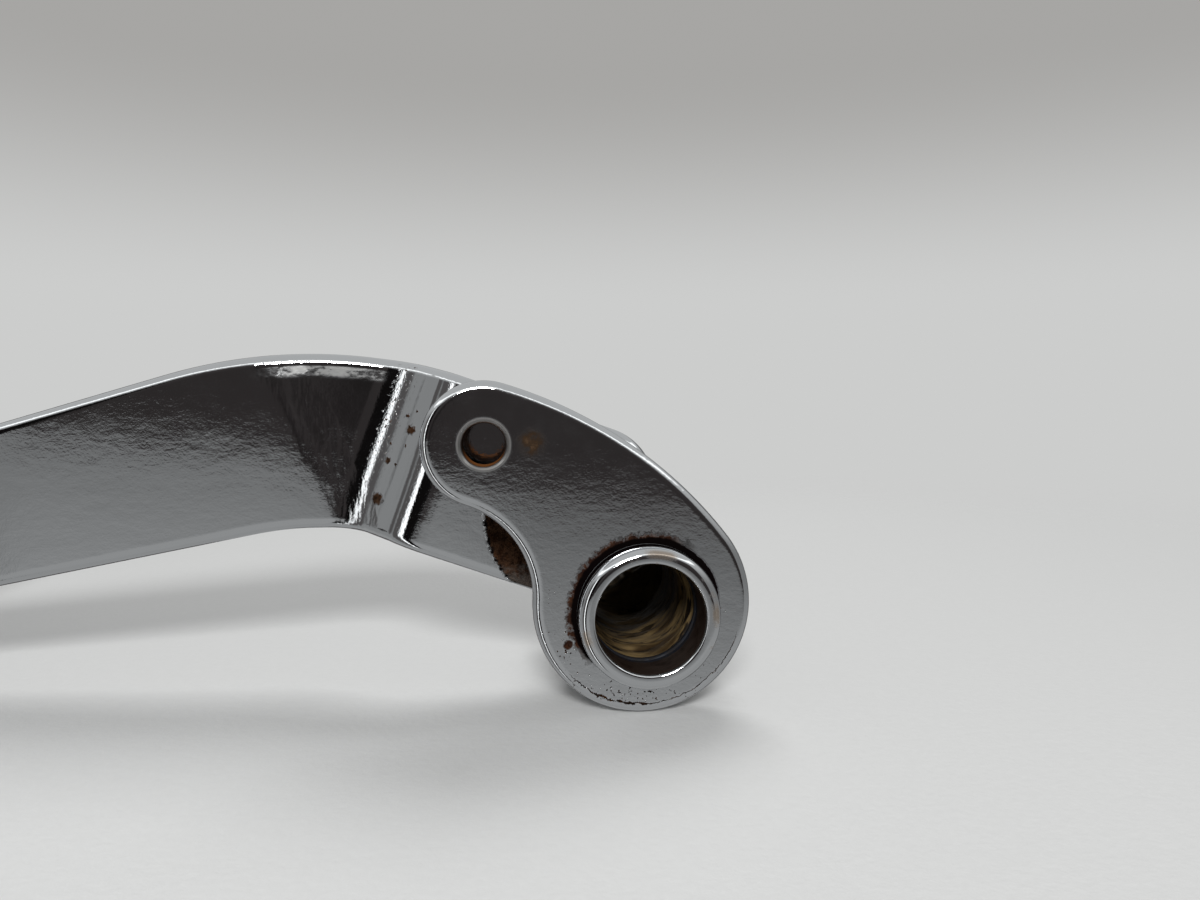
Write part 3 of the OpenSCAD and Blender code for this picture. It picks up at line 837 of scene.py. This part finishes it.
def arm_finish():
    material, tree, shader = finish_of("arm_chrome")
    at, x, y, z = place_of(tree)
    fall = math.radians(FALL)
    s = x * math.cos(fall) - z * math.sin(fall)
    t = x * math.sin(fall) + z * math.cos(fall)
    waves, haze = use(peel, at, Fine=1.4, Broad=1.3)
    rusty, flakes = use(rust, at, Orange=0.12)
    ragged = cloud(at, 0.9, 5.0, 0.7)
    # Rust spots with ragged outlines, from places that are stirred a little and flattened onto the face
    stir = vector("SCALE", texture(at, 1.6, 3.0, output="Color"), 1.2)
    stirred = vector("ADD", vector("ADD", at, stir), (-0.6, -0.6, -0.6))
    flat = vector("MULTIPLY", stirred, (1, 0, 1))
    spots = most(*[fade(vector("DISTANCE", flat, (spot_x, 0, spot_z)), size, size * 0.62)
                   for spot_x, spot_z, size in RUST_SPOTS])
    # Specks of rust where the plating is thin, in the hollow of the far bend
    hollow = window(s, far_end + 3.0, far_end + 4.5, far_end + 6.0, far_end + 8.0) * fade(t, 4.0, 8.0)
    specks = hollow * fade(cloud(at, 0.7, 3.0, 0.6), 0.6, 0.68)
    # The bare patch beside the plate: rough, lumpy and red-brown, with a black rim
    on_face = fade(y, -5.0, -5.6) * fade(x, -11.0, -14.0)
    edge = off_from(x, z, PATCH_AT)[2] + ragged * 1.6
    patch = on_face * fade(edge, PATCH_R + 0.2, PATCH_R - 0.3)
    lumps = cloud(at, 1.3, 4.0, 0.6)
    grey = patch * fade(z + lumps * 8.0, 9.5, 6.5)
    rim = on_face * fade(abs(edge - PATCH_R), 0.6, 0.2) * fade(cloud(at, 0.9, 2.0), 0.48, 0.56)
    # A dull smear under the upper edge, left by a worn polishing wheel
    from_middle = off_from(s, t, BEND_AT)[2]
    smear = window(from_middle, HIGH_R - 4.6, HIGH_R - 3.4, HIGH_R - 2.3, HIGH_R - 1.9)
    smear = smear * window(s, far_end - 22.0, far_end - 12.0, far_end + 1.0, far_end + 3.0)
    smear = smear * fade(y, 3.4, 3.2) * fade(cloud(at, 1.2, 4.0, 0.7, (0.4, 1.0, 1.0)), 0.3, 0.6, 0.15, 0.9)
    dirt = most(spots, patch, specks)
    worn = most(dirt, rim)
    colour = blend(smear, CHROME, (0.28, 0.28, 0.27))
    colour = blend(dirt, colour, rusty)
    colour = blend(patch * 0.35, colour, (0.014, 0.006, 0.004))
    colour = blend(grey * 0.5, colour, (0.12, 0.11, 0.10))
    colour = blend(most(rim, spots * 0.35), colour, (0.008, 0.006, 0.005))
    # The press left the front face a little hollow where it runs into the far bend
    drift = cloud(at, 7.0, 3.0, 0.6, (1.6, 1.0, 0.5))
    past = s + t + (ragged * 0.5 + drift * 7.0) - 3.2 + LEAN_FROM
    middle = ARM_Y + STEP - (s - far_bend) * math.tan(slope_rad)
    middle = least(most(middle, ARM_Y), ARM_Y + STEP)
    facing = fade(y - middle, 2.5, -2.5)
    lean = fade(past, 0.0, 6.3) * least(past, 12.0) * 0.04
    hollow_bend = fade(s, far_end + 2.5, far_end + 10.0) * 0.3
    # It also left faint steps across the slope, and a grain on the bends
    steps = texture(Field(put(tree, "CombineXYZ", {0: s, 1: t * 0.03}).outputs[0]), 0.7, 1.0) - 0.5
    slope = window(s, far_end + 7.0, far_end + 9.0, near_end - 6.0, near_end - 3.0)
    rough_bend = most(window(s, far_end + 1.0, far_end + 3.0, far_end + 6.0, far_end + 8.0),
                      window(s, near_end - 6.0, near_end - 5.0, near_end - 3.0, near_end - 1.0) * 0.7)
    height = waves + dirt * flakes * 0.25 + patch * lumps * 1.2
    height = height - facing * (lean + hollow_bend) + slope * steps * 0.2
    height = height + rough_bend * cloud(at, 0.35, 2.0, 0.6) * 0.013
    set_finish(
        shader, Base_Color=colour, Specular_IOR_Level=MATT,
        Metallic=bare(fade(worn, 0.4, 1.0) * vary(grey, 1.0, 0.5)),
        Roughness=vary(fade(worn, 0.5, 1.0), vary(smear, vary(haze, 0.04, 0.08), 0.4), 0.65),
        Normal=relief(height))
    return material


arm_loop, arm_caps = arm_outline()
arm = rounded_bar("arm", arm_loop, ARM_T, ARM_EDGE, arm_place, arm_caps)
cut_with(arm, round_cutter([(TUBE_R, -15), (TUBE_R, 12)], 0, 0))
dress(arm, "pedal_arm", arm_finish())


# ---------------------------------------------------------------- Tube welds
# Three fillet welds hold the plate and the arm to the tube. Each is a run of
# overlapping ripples, plated with the rest, with rust in patches.

WELD = 3.0


def weld_finish():
    material, tree, shader = finish_of("weld_chrome")
    at = place_of(tree)[0]
    rusty, flakes = use(rust, at, Orange=0.5)
    worn = fade(cloud(at, 2.2, 4.0, 0.65), 0.5, 0.68)
    set_finish(
        shader, Base_Color=blend(worn, (0.5, 0.5, 0.51), rusty),
        Metallic=bare(worn), Roughness=vary(worn, 0.18, 0.75),
        Normal=relief(cloud(at, 0.6, 3.0) * 0.06 + worn * flakes * 0.5))
    return material


def tube_bead(name, y, way):
    """A bead round the tube, from the face at y; its ripples overlap like coins."""
    ripples, per, across = 44, 8, 12
    steps = ripples * per
    count = across + 2
    points = []
    faces = []
    for i in range(steps):
        angle = 2 * math.pi * i / steps
        phase = (i % per) / per
        swell = 0.09 * math.sin(math.pi * phase) - 0.03 + 0.05 * noise.noise((i * 0.11, y, 0))
        for j in range(across + 1):
            lean = math.radians(90 * j / across)
            # Hollow between its legs, as a well-wetted fillet is
            reach = WELD * (1 - 0.31 * math.sin(2 * lean) ** 0.8) + swell * math.sin(2 * lean)
            r = TUBE_R + max(0.0, reach * math.cos(lean))
            out = max(0.0, reach * math.sin(lean))
            points.append((r * math.cos(angle), y + way * out, r * math.sin(angle)))
        points.append((TUBE_R * math.cos(angle), y, TUBE_R * math.sin(angle)))
        faces += quads(i * count, (i + 1) % steps * count, count)
    return mesh_piece(name, points, faces, 50)


weld_material = weld_finish()
for weld_node, face_y, way in (("plate_weld", PLATE_Y + PLATE_T / 2, 1),
                               ("arm_weld_inner", ARM_Y - ARM_T / 2, -1),
                               ("arm_weld_outer", ARM_Y + ARM_T / 2, 1)):
    dress(tube_bead(weld_node + "_bead", face_y, way), weld_node, weld_material)


# --------------------------------------------------------------- Tread plate
# A flat steel plate with round corners, welded across the arm's upper edge at
# the tip. Only its underside shows, inside the rubber's lip, so it is dull and
# a little rusty.

TREAD_SLOPE = math.radians(RISE + TAPER)
TREAD_L, TREAD_W, TREAD_T, TREAD_CORNER = 58.0, 33.0, 3.0, 7.0
TREAD_IN, TREAD_OUT = 19.0, 11.0
TREAD_EDGE = 0.4
tread_flat = run_corner(RUN - TREAD_IN, 0.0, True)
tread_x, tread_z = to_space(tread_flat.x, tread_flat.y)


def on_tread(x, y, z):
    """From up the arm, across the bike and out of the arm's upper edge to the pedal's own frame."""
    return (tread_x + x * math.cos(TREAD_SLOPE) - z * math.sin(TREAD_SLOPE),
            ARM_Y + STEP + y,
            tread_z + x * math.sin(TREAD_SLOPE) + z * math.cos(TREAD_SLOPE))


def tread_finish():
    material, tree, shader = finish_of("tread_chrome")
    at = place_of(tree)[0]
    rusty, flakes = use(rust, at, Orange=0.6)
    worn = fade(cloud(at, 3.0, 5.0, 0.65), 0.52, 0.66)
    waves, _ = use(peel, at, Fine=1.5, Broad=1.0)
    set_finish(
        shader, Base_Color=blend(worn, (0.52, 0.53, 0.54), rusty),
        Metallic=bare(worn), Roughness=vary(worn, 0.2, 0.75), Normal=relief(waves + worn * flakes))
    return material


def tread_outline():
    w, l, r = TREAD_W / 2, TREAD_L / 2, TREAD_CORNER
    return with_holding_points(joined(*[
        arc((x * (w - r), y * (l - r)), r, start, start + 90, 16)
        for x, y, start in ((1, 1, 0), (-1, 1, 90), (-1, -1, 180), (1, -1, 270))]))


tread_loop = tread_outline()
tread = rounded_bar(
    "tread", tread_loop, TREAD_T, TREAD_EDGE,
    lambda p, h: on_tread(p.x, TREAD_OUT + p.y, TREAD_T / 2 + h), [list(range(len(tread_loop)))], 4)
dress(tread, "tread_plate", tread_finish())


# --------------------------------------------------------------- Tread welds
# A short fillet weld on each side of the arm holds the tread plate from below.
# Its ends are tapered, and its ripples overlap like those round the tube.

BEAD_L = 21.9
BEAD_LEG = 3.2


def tread_bead(name, side):
    ripples, per, across = 11, 10, 10
    steps = ripples * per
    count = across + 3
    points = []
    faces = [tuple(range(count)), tuple(steps * count + j for j in reversed(range(count)))]
    for i in range(steps + 1):
        along = (i / steps - 0.5) * BEAD_L
        taper = min(1.0, math.sqrt(max(0.0, 1 - (abs(2 * along / BEAD_L)) ** 8)) + 0.25)
        swell = 0.12 * math.sin(math.pi * (i % per) / per) - 0.05
        ring = [(ARM_T / 2 - ARM_EDGE * 0.9, -0.05)]
        for j in range(across + 1):
            lean = math.radians(90 * j / across)
            reach = (BEAD_LEG * (1 - 0.3 * math.sin(2 * lean)) + swell * math.sin(2 * lean)) * taper
            ring.append((ARM_T / 2 + reach * math.cos(lean), -reach * math.sin(lean)))
        ring.append((ARM_T / 2 - 0.1, -ARM_EDGE))
        points += [on_tread(along, side * y, z) for y, z in ring]
        if i < steps:
            faces += quads(i * count, (i + 1) * count, count)
    return mesh_piece(name, points, faces, 50)


for weld_node, side in (("tread_weld_inner", -1), ("tread_weld_outer", 1)):
    dress(tread_bead(weld_node + "_bead", side), weld_node, weld_material)


# -------------------------------------------------------------- Tread rubber
# A moulded black rubber cover with cross ribs, stretched over the tread plate
# and held by a lip under its edge. The tops of the ribs are scuffed by boots.

MOULD_DETAIL = 0.42
MOULD_ROUNDS = 4


def rubber_finish():
    material, tree, shader = finish_of("tread_rubber")
    at, x, _, z = place_of(tree)
    grain = cloud(at, 0.5, 4.0, 0.6)
    dust = cloud(at, 5.0, 5.0, 0.65)
    # Height over the tread plate, along its normal
    lift = (x - tread_x) * -math.sin(TREAD_SLOPE) + (z - tread_z) * math.cos(TREAD_SLOPE)
    scuff = fade(lift, 8.3, 8.9) * fade(cloud(at, 1.2, 4.0, 0.7, (1, 0.4, 1)), 0.4, 0.65)
    groove_dust = fade(lift, 8.0, 7.0) * fade(dust, 0.45, 0.65, 0.0, 0.5)
    colour = blend(fade(grain, 0.3, 0.7), (0.018, 0.018, 0.019), (0.03, 0.03, 0.031))
    colour = blend(groove_dust, colour, (0.12, 0.105, 0.085))
    colour = blend(scuff * 0.5, colour, (0.075, 0.073, 0.07))
    set_finish(
        shader, Base_Color=colour, Roughness=vary(scuff, 0.55, 0.78),
        Normal=relief(grain * 0.09 + scuff * cloud(at, 0.35, 2.0) * 0.15))
    return material


def moulded_copy(node, name):
    """A copy of a CAD node's form with its edges eased as a mould leaves them."""
    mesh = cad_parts[node].data.copy()
    work = bmesh.new()
    work.from_mesh(mesh)
    bmesh.ops.remove_doubles(work, verts=work.verts, dist=1e-6)
    work.to_mesh(mesh)
    work.free()
    piece = added(name, mesh)
    remesh = piece.modifiers.new("remesh", "REMESH")
    remesh.mode = "VOXEL"
    remesh.voxel_size = MOULD_DETAIL * MM
    ease = piece.modifiers.new("ease", "SMOOTH")
    ease.factor = 0.5
    ease.iterations = MOULD_ROUNDS
    apply_modifiers(piece)
    piece.data.shade_smooth()
    return piece


dress(moulded_copy("tread_rubber", "tread_cover"), "tread_rubber", rubber_finish())


# --------------------------------------------------------------------- Stage
# A plain pale floor just under the pedal, which fades into the pale backdrop.
# Metal shows the studio in place of both.

BACKDROP = (0.605, 0.61, 0.605)
FLOOR_HALF = 2
FLOOR_MIDDLE = (-0.06, 0.0)
FLOOR_GAP = 0.0003
floor_z = cad_box[0][2] - FLOOR_GAP

floor_mesh = bpy.data.meshes.new("floor")
floor_mesh.from_pydata(
    [(x * FLOOR_HALF, y * FLOOR_HALF, floor_z) for x, y in ((-1, -1), (1, -1), (1, 1), (-1, 1))],
    [], [(0, 1, 2, 3)])
floor = added("floor", floor_mesh)
floor_material, tree, shader = finish_of("floor_paper")
at = Field(put(tree, "TexCoord").outputs["Object"])
away = vector("DISTANCE", at, (*FLOOR_MIDDLE, floor_z))
grain = texture(at, 900.0, 3.0)
set_finish(
    shader, Base_Color=blend(grain, (0.62, 0.625, 0.62), (0.65, 0.655, 0.65)), Roughness=1.0,
    Specular_IOR_Level=MATT, Normal=relief(grain, 0.0002, 0.35))
gone = most(fade(away, 0.12, 0.5), Field(put(tree, "LightPath").outputs["Is Glossy Ray"]))
clear = put(tree, "BsdfTransparent")
mixed = put(tree, "MixShader", {0: gone, 1: Field(shader.outputs[0]), 2: Field(clear.outputs[0])})
tree.links.new(mixed.outputs[0], tree.nodes["Material Output"].inputs["Surface"])
floor_mesh.materials.append(floor_material)


# --------------------------------------------------------------------- Light
# A plain soft studio. The chrome shows it as a dark side behind the camera over
# a grey table, then, further left, a black gap, a bright window and a grey wall.
# A lamp in front and one above give the soft shadows.

TO_DEGREES = 57.3

world = bpy.data.worlds.new("studio")
scene.world = world
world.use_nodes = True
tree = world.node_tree
x, y, z = split(Field(put(tree, "TexCoord").outputs["Generated"]))
left = maths("ARCTAN2", x * -1.0, y * -1.0) * TO_DEGREES


def panel(start, end, low=-0.8, blur=1.0):
    """A part of the studio from one bearing to another, in degrees to the left of the camera's back."""
    return (window(left, start - blur, start + blur, end - blur, end + blur)
            * window(z, low - 0.06, low + 0.06, 0.37, 0.53))


# How far a direction is below the table's far edge, which is lower to the right
edge_low = x * 0.112 + fade(left, 15.0, 10.0, 0.077, 0.096)
drop = (z + edge_low) * -1.0
table = least(most(drop, 0.0) * 1.1 + fade(left, -3.0, 4.0, 0.14, 0.225), 0.42)
dark = vary(window(left, 4.0, 7.0, 9.0, 12.0), fade(z, 0.0, 0.4, 0.034, 0.05), 0.018)
front = vary(fade(drop, -0.008, 0.008), dark, table)
light = fade(z, -0.5, 0.0, 0.40, 0.26) + fade(z, 0.15, 0.6, 0.0, 0.36)
light = light + window(z, 0.56, 0.60, 0.66, 0.70) * fade(y, 0.2, -0.1) * 1.2
light = vary(panel(-150, -120), light, 0.16)
light = vary(panel(140, 165), light, 0.12)
light = vary(panel(-46, 28, -0.95), light, front)
# The black gap starts further left below the table's edge
gap = fade(left - fade(drop, -0.03, 0.01, 0.0, 7.0), 26.0, 28.0)
light = vary(gap * panel(0, 50), light, 0.005)
light = vary(panel(50, 58), light, 2.0)
light = vary(panel(58, 80, blur=3.0), light, 0.11)
light = vary(panel(80, 104, blur=6.0), light, 0.33)
warm = blend(fade(light, 0.02, 0.2), (1.12, 0.98, 0.96), (0.985, 1.0, 0.995))
seen = put(tree, "LightPath").outputs
even = blend(Field(seen["Is Glossy Ray"]), (0.21, 0.21, 0.21), vector("SCALE", warm, light))
wall = blend(fade(z, 0.1, 0.34), BACKDROP, (0.385, 0.38, 0.37))
background = tree.nodes["Background"]
feed(background.inputs["Color"], blend(Field(seen["Is Camera Ray"]), even, wall))
background.inputs["Strength"].default_value = 1.0


def lamp(name, place, aim, size, power, mirrored=True):
    data = bpy.data.lights.new(name, "AREA")
    data.shape = "RECTANGLE"
    data.size, data.size_y = size
    data.energy = power
    made = added(name, data)
    made.location = place
    made.visible_glossy = mirrored
    made.rotation_mode = "QUATERNION"
    made.rotation_quaternion = (Vector(aim) - Vector(place)).to_track_quat("-Z", "Y")


lamp("front_lamp", (-0.12, -0.82, 0.46), (-0.04, 0.0, 0.0), (0.26, 0.18), 7.4)
lamp("top_lamp", (0.12, 0.44, 0.72), (-0.02, 0.0, 0.0), (0.5, 0.35), 3.9, False)


# -------------------------------------------------------------------- Camera
# The photograph's view: close, a little above and left of the tube's mouth.
# It was found by fitting the round edges of the tube, the plate and the hole.

camera_data = bpy.data.cameras.new("camera")
camera_data.sensor_width = 36.0
camera_data.lens = 27.0
camera_data.clip_start = 0.005
camera = added("camera", camera_data)
forward = Vector((0.1049, 0.993, -0.0543)).normalized()
right = Vector((0.9945, -0.105, 0.0)).normalized()
up = right.cross(forward).normalized()
right = forward.cross(up)
turn = Matrix((right, up, -forward)).transposed().to_4x4()
camera.matrix_world = Matrix.Translation((-0.0219, -0.1578, 0.0331)) @ turn
scene.camera = camera

bpy.context.view_layer.update()
